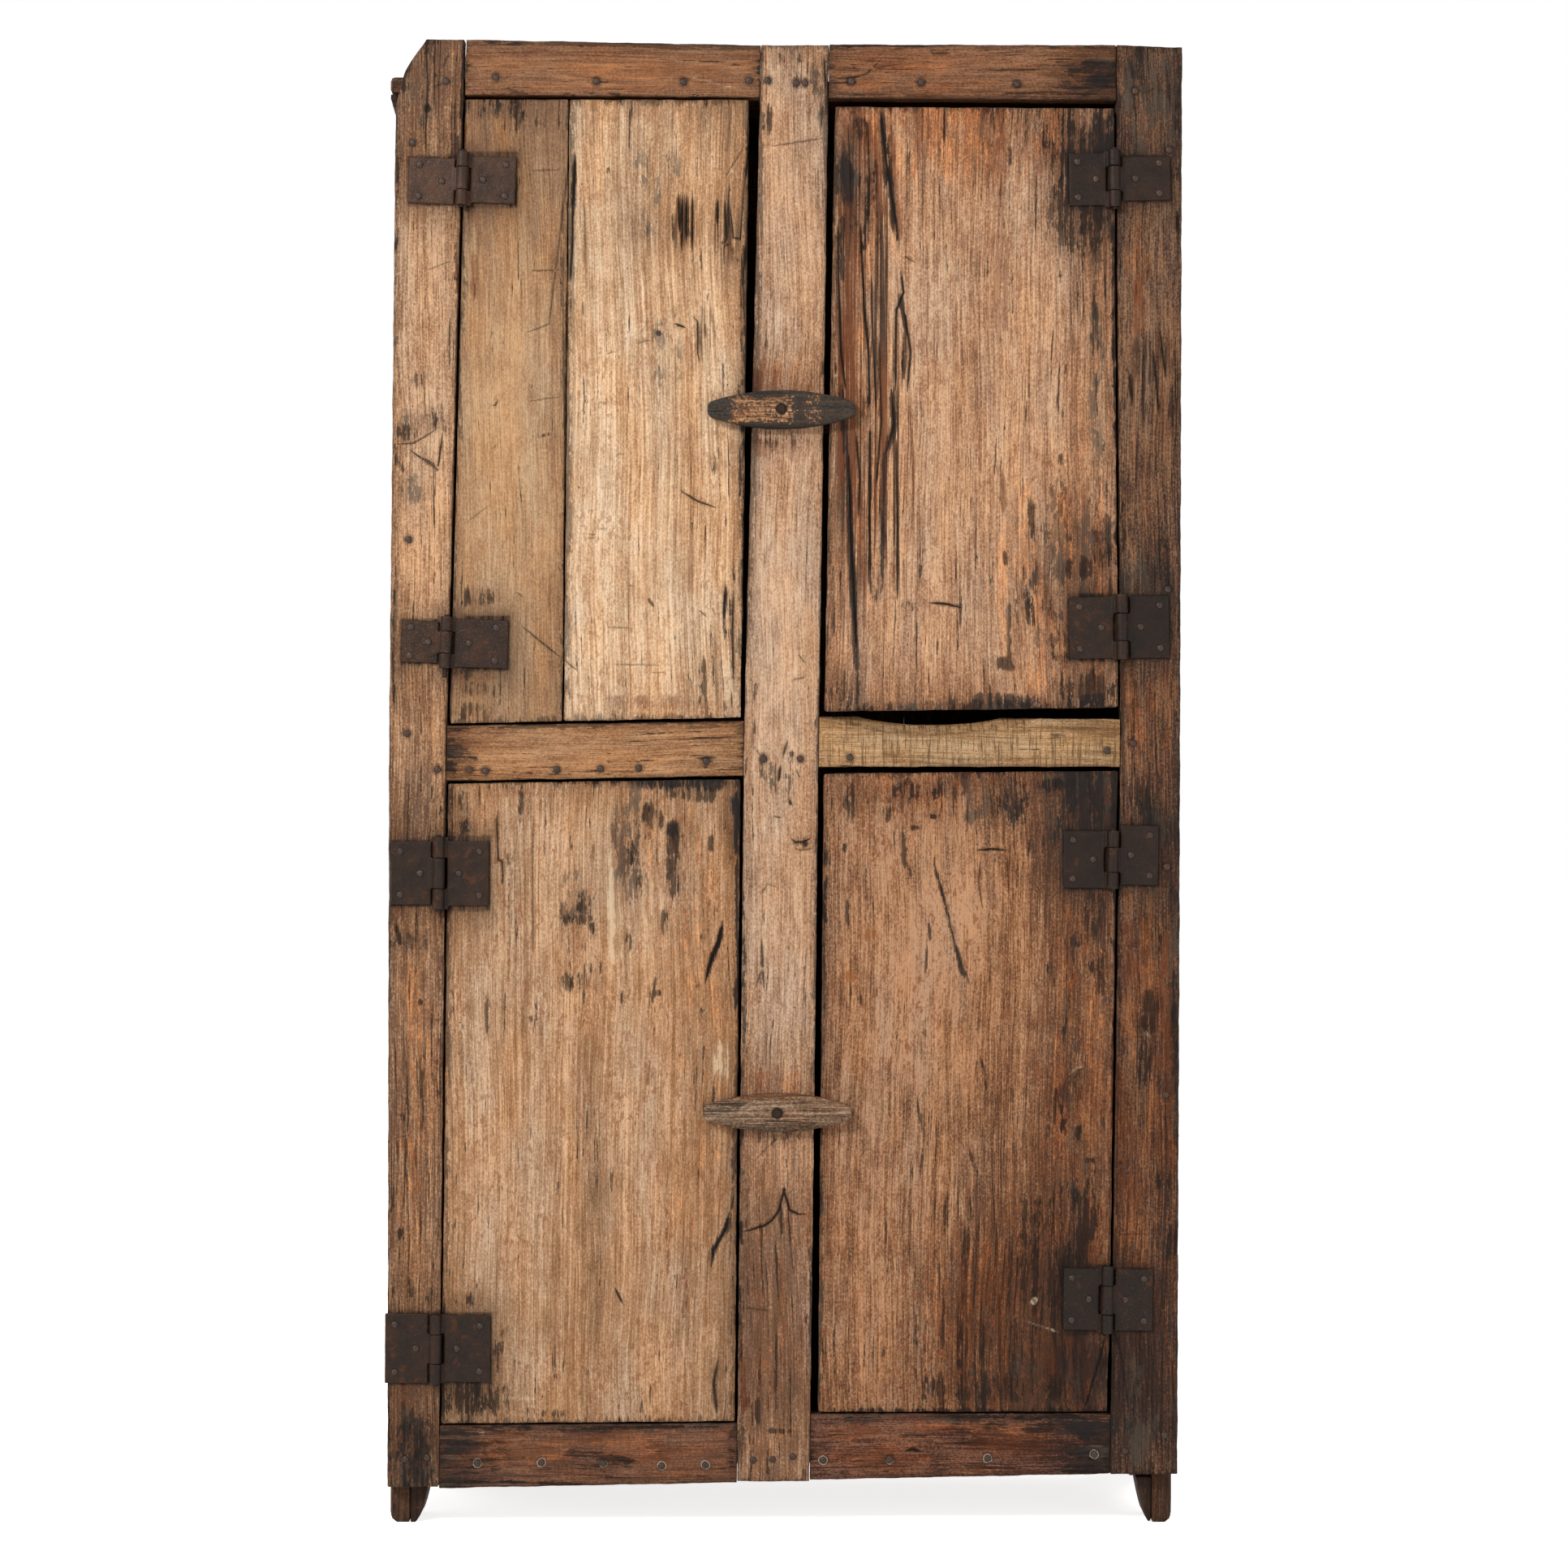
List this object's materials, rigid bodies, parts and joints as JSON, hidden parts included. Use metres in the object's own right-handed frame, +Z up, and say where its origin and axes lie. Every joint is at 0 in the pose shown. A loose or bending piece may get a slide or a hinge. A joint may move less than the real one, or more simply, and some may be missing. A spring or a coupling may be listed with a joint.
{
  "type": "armoire",
  "caption": "Tall rustic plank cupboard with inset doors in a hewn face frame, hung on nailed iron butt hinges and held shut by wooden turn buttons.",
  "frame": {"origin": "on the floor, under the middle of the cupboard's box", "axes": "+X to the cupboard's right as seen from the front, +Y from the front to the back, +Z up"},
  "size_m": [0.9928, 0.4648, 1.85],
  "materials": {
    "pale_wood": "bare, worn and sun-bleached pine, fine grain, oiled by hands",
    "brown_wood": "bare, dirty brown pine with dark stains, cracks and dents",
    "red_wood": "bare, dark reddish-brown wood with saw marks and grime",
    "dark_wood": "dark, greasy, hand-worn wood",
    "iron": "forged iron, dark brown with rust"
  },
  "bodies": {
    "carcass": {"left_side_front_plank": "brown_wood", "left_side_back_plank": "brown_wood", "right_side_front_plank": "brown_wood", "right_side_back_plank": "brown_wood", "top_board": "dark_wood", "middle_shelf": "brown_wood", "bottom_board": "brown_wood", "upper_shelf": "brown_wood", "lower_shelf": "brown_wood", "shelf_cleats": "dark_wood", "back_plank_left": "brown_wood", "back_plank_middle": "brown_wood", "back_plank_right": "brown_wood", "top_cove": "dark_wood", "foot_blocks": "dark_wood", "left_stile": "pale_wood", "centre_stile": "pale_wood", "right_stile": "brown_wood", "top_left_rail": "red_wood", "top_right_rail": "red_wood", "middle_left_rail": "brown_wood", "middle_right_rail": "brown_wood", "bottom_left_rail": "red_wood", "bottom_right_rail": "red_wood", "frame_nails": "iron", "carcass_nails": "iron", "upper_left_top_frame_leaf": "iron", "upper_left_bottom_frame_leaf": "iron", "upper_right_top_frame_leaf": "iron", "upper_right_bottom_frame_leaf": "iron", "lower_left_top_frame_leaf": "iron", "lower_left_bottom_frame_leaf": "iron", "lower_right_top_frame_leaf": "iron", "lower_right_bottom_frame_leaf": "iron", "hinge_pins": "iron", "frame_leaf_nails": "iron", "turn_button_pivots": "iron"},
    "upper_left_door": {"upper_left_door_hinge_board": "brown_wood", "upper_left_door_latch_board": "pale_wood", "upper_left_door_ledges": "brown_wood", "upper_left_door_nails": "iron", "upper_left_top_door_leaf": "iron", "upper_left_bottom_door_leaf": "iron"},
    "upper_right_door": {"upper_right_door_board": "brown_wood", "upper_right_door_ledges": "brown_wood", "upper_right_door_nails": "iron", "upper_right_top_door_leaf": "iron", "upper_right_bottom_door_leaf": "iron"},
    "lower_left_door": {"lower_left_door_board": "brown_wood", "lower_left_door_ledges": "brown_wood", "lower_left_door_nails": "iron", "lower_left_top_door_leaf": "iron", "lower_left_bottom_door_leaf": "iron"},
    "lower_right_door": {"lower_right_door_board": "red_wood", "lower_right_door_ledges": "brown_wood", "lower_right_door_nails": "iron", "lower_right_top_door_leaf": "iron", "lower_right_bottom_door_leaf": "iron"},
    "upper_turn_button": {"upper_turn_button": "dark_wood"},
    "lower_turn_button": {"lower_turn_button": "brown_wood"}
  },
  "joints": [
    {"name": "upper_left_door_hinge", "type": "hinge", "parent": "carcass", "child": "upper_left_door", "pos_m": [-0.41239, -0.21785, 1.34753], "axis": [-0.0355, 0, -0.9994], "range_deg": [0, 165]},
    {"name": "upper_right_door_hinge", "type": "hinge", "parent": "carcass", "child": "upper_right_door", "pos_m": [0.41497, -0.21785, 1.35601], "axis": [-0.0168, 0, 0.9999], "range_deg": [0, 165]},
    {"name": "lower_left_door_hinge", "type": "hinge", "parent": "carcass", "child": "lower_left_door", "pos_m": [-0.43229, -0.21785, 0.46975], "axis": [-0.0069, 0, -1], "range_deg": [0, 165]},
    {"name": "lower_right_door_hinge", "type": "hinge", "parent": "carcass", "child": "lower_right_door", "pos_m": [0.4035, -0.21785, 0.51365], "axis": [0.0126, 0, 0.9999], "range_deg": [0, 165]},
    {"name": "upper_turn_button_pivot", "type": "hinge", "parent": "carcass", "child": "upper_turn_button", "pos_m": [-0.00418, -0.2302, 1.388], "axis": [0, 1, 0], "continuous": true},
    {"name": "lower_turn_button_pivot", "type": "hinge", "parent": "carcass", "child": "lower_turn_button", "pos_m": [-0.00942, -0.2302, 0.515], "axis": [0, 1, 0], "continuous": true}
  ]
}
